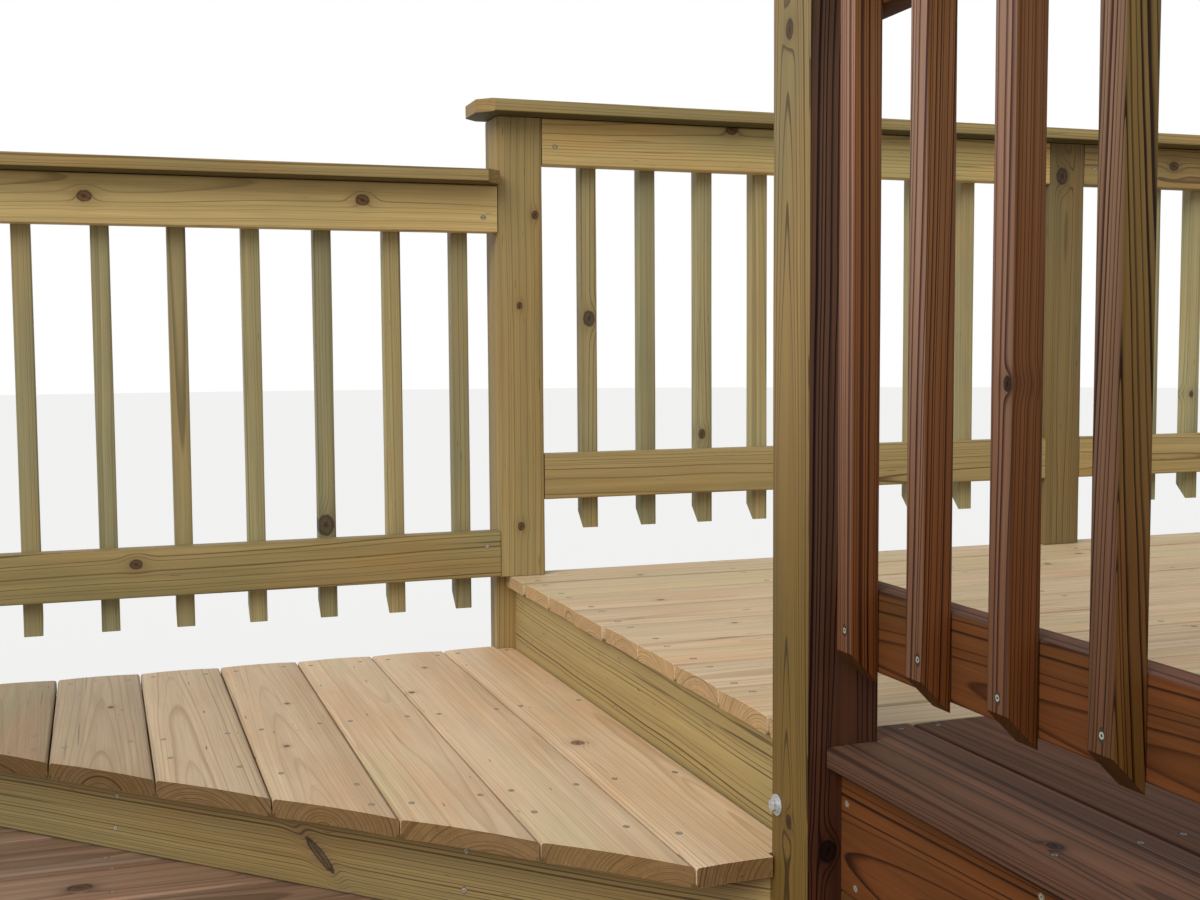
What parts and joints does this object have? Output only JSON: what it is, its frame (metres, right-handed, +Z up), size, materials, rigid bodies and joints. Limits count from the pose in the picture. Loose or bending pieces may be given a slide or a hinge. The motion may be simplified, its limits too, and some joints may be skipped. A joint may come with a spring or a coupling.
{
  "type": "wooden deck stairs",
  "caption": "Timber deck stairs: a lower deck, a triangular corner step and a railed upper deck, part new timber and part stained.",
  "frame": {"origin": "middle of the corner post's foot, on the ground", "axes": "+Z up, +X along the railing behind the upper deck, away from the step, -Y down the stairs towards the stained side"},
  "size_m": [3.94, 2.701, 1.359],
  "materials": {
    "new_decking": "sawn",
    "treated_pine": "sawn",
    "red_stain": "satin",
    "old_stain": "worn"
  },
  "bodies": {
    "root": {"lower_left_rim": "treated_pine", "lower_right_rim": "treated_pine", "lower_back_rim": "treated_pine", "lower_front_rim": "treated_pine", "lower_joists": "treated_pine", "lower_deck_boards": "old_stain", "step_frame": "treated_pine", "step_riser": "treated_pine", "step_boards": "new_decking", "side_skirt": "red_stain", "light_fascia": "treated_pine", "stained_fascia": "red_stain", "upper_back_rim": "treated_pine", "upper_right_rim": "treated_pine", "upper_front_rim": "red_stain", "dividing_beam": "treated_pine", "light_joists": "treated_pine", "stained_joists": "treated_pine", "support_posts": "treated_pine", "light_deck_boards": "new_decking", "stained_edge_board": "red_stain", "stained_deck_boards": "red_stain", "corner_post": "treated_pine", "middle_post": "treated_pine", "right_end_post": "treated_pine", "left_end_post": "treated_pine", "near_post": "treated_pine", "stained_end_post": "red_stain", "left_top_rail": "treated_pine", "left_bottom_rail": "treated_pine", "left_balusters": "treated_pine", "left_cap": "treated_pine", "first_top_rail": "treated_pine", "first_bottom_rail": "treated_pine", "first_balusters": "treated_pine", "second_top_rail": "treated_pine", "second_bottom_rail": "treated_pine", "second_balusters": "treated_pine", "right_cap": "treated_pine", "stained_top_rail": "red_stain", "stained_bottom_rail": "red_stain", "stained_balusters": "red_stain", "stained_cap": "red_stain"}
  },
  "joints": []
}
